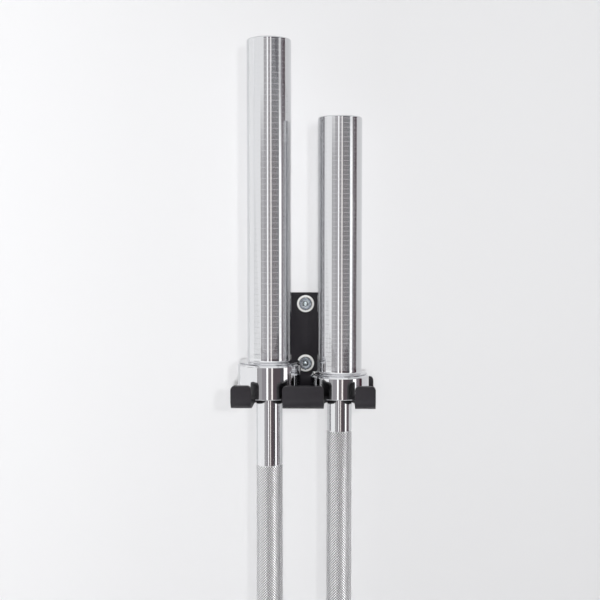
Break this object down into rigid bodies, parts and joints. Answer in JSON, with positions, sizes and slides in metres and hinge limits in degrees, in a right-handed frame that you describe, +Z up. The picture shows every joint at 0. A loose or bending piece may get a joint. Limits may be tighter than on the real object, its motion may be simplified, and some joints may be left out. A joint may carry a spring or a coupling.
{
  "type": "wall-mounted vertical barbell rack with barbells",
  "caption": "Wall bracket of bent plate with open slots, held by lag screws, from which barbells with turning sleeves hang upright by their collars.",
  "frame": {"origin": "on the wall face of the bracket, midway between its two lag screws", "axes": "+Z up along the hanging bars, +Y out of the bracket's back face into the wall, +X to the right as seen from the room"},
  "size_m": [0.1596, 0.1448, 2.1136],
  "materials": {
    "black_coat": "black powder coat, fine texture, half matt",
    "zinc": "bright zinc plate",
    "grip_chrome": "satin chrome with knurling",
    "chrome": "bright chrome over fine turned grooves",
    "bronze": "plain bearing bronze",
    "bearing_steel": "ground",
    "spring_steel": "blackened spring steel"
  },
  "bodies": {
    "wall_bracket": {"hanger_bracket": "black_coat", "upper_lag_screw": "zinc", "lower_lag_screw": "zinc", "upper_washer": "zinc", "lower_washer": "zinc"},
    "left_bar": {"left_shaft": "grip_chrome", "left_upper_thrust_washer": "bronze", "left_upper_snap_ring": "spring_steel", "left_lower_thrust_washer": "bronze", "left_lower_snap_ring": "spring_steel"},
    "left_bar_upper_end": {"left_upper_sleeve": "chrome", "left_upper_bushing": "bronze", "left_upper_needle_bearing": "bearing_steel", "left_upper_end_cap": "chrome", "left_upper_cap_ring": "spring_steel"},
    "left_bar_lower_end": {"left_lower_sleeve": "chrome", "left_lower_bushing": "bronze", "left_lower_needle_bearing": "bearing_steel", "left_lower_end_cap": "chrome", "left_lower_cap_ring": "spring_steel"},
    "right_bar": {"right_shaft": "grip_chrome", "right_upper_thrust_washer": "bronze", "right_upper_snap_ring": "spring_steel", "right_lower_thrust_washer": "bronze", "right_lower_snap_ring": "spring_steel"},
    "right_bar_upper_end": {"right_upper_sleeve": "chrome", "right_upper_bushing": "bronze", "right_upper_needle_bearing": "bearing_steel", "right_upper_end_cap": "chrome", "right_upper_cap_ring": "spring_steel"},
    "right_bar_lower_end": {"right_lower_sleeve": "chrome", "right_lower_bushing": "bronze", "right_lower_needle_bearing": "bearing_steel", "right_lower_end_cap": "chrome", "right_lower_cap_ring": "spring_steel"}
  },
  "joints": [
    {"name": "left_bar_lift", "type": "slide", "parent": "wall_bracket", "child": "left_bar", "axis": [0, 0, 1], "range_m": [0, 0.06]},
    {"name": "left_upper_sleeve_spin", "type": "hinge", "parent": "left_bar", "child": "left_bar_upper_end", "pos_m": [-0.04, -0.0482, -0.0684], "axis": [0, 0, 1], "continuous": true},
    {"name": "left_lower_sleeve_spin", "type": "hinge", "parent": "left_bar", "child": "left_bar_lower_end", "pos_m": [-0.04, -0.0482, -1.3784], "axis": [0, 0, 1], "continuous": true},
    {"name": "right_bar_lift", "type": "slide", "parent": "wall_bracket", "child": "right_bar", "axis": [0, 0, 1], "range_m": [0, 0.06]},
    {"name": "right_upper_sleeve_spin", "type": "hinge", "parent": "right_bar", "child": "right_bar_upper_end", "pos_m": [0.04, -0.0482, -0.0684], "axis": [0, 0, 1], "continuous": true},
    {"name": "right_lower_sleeve_spin", "type": "hinge", "parent": "right_bar", "child": "right_bar_lower_end", "pos_m": [0.04, -0.0482, -1.3784], "axis": [0, 0, 1], "continuous": true}
  ]
}
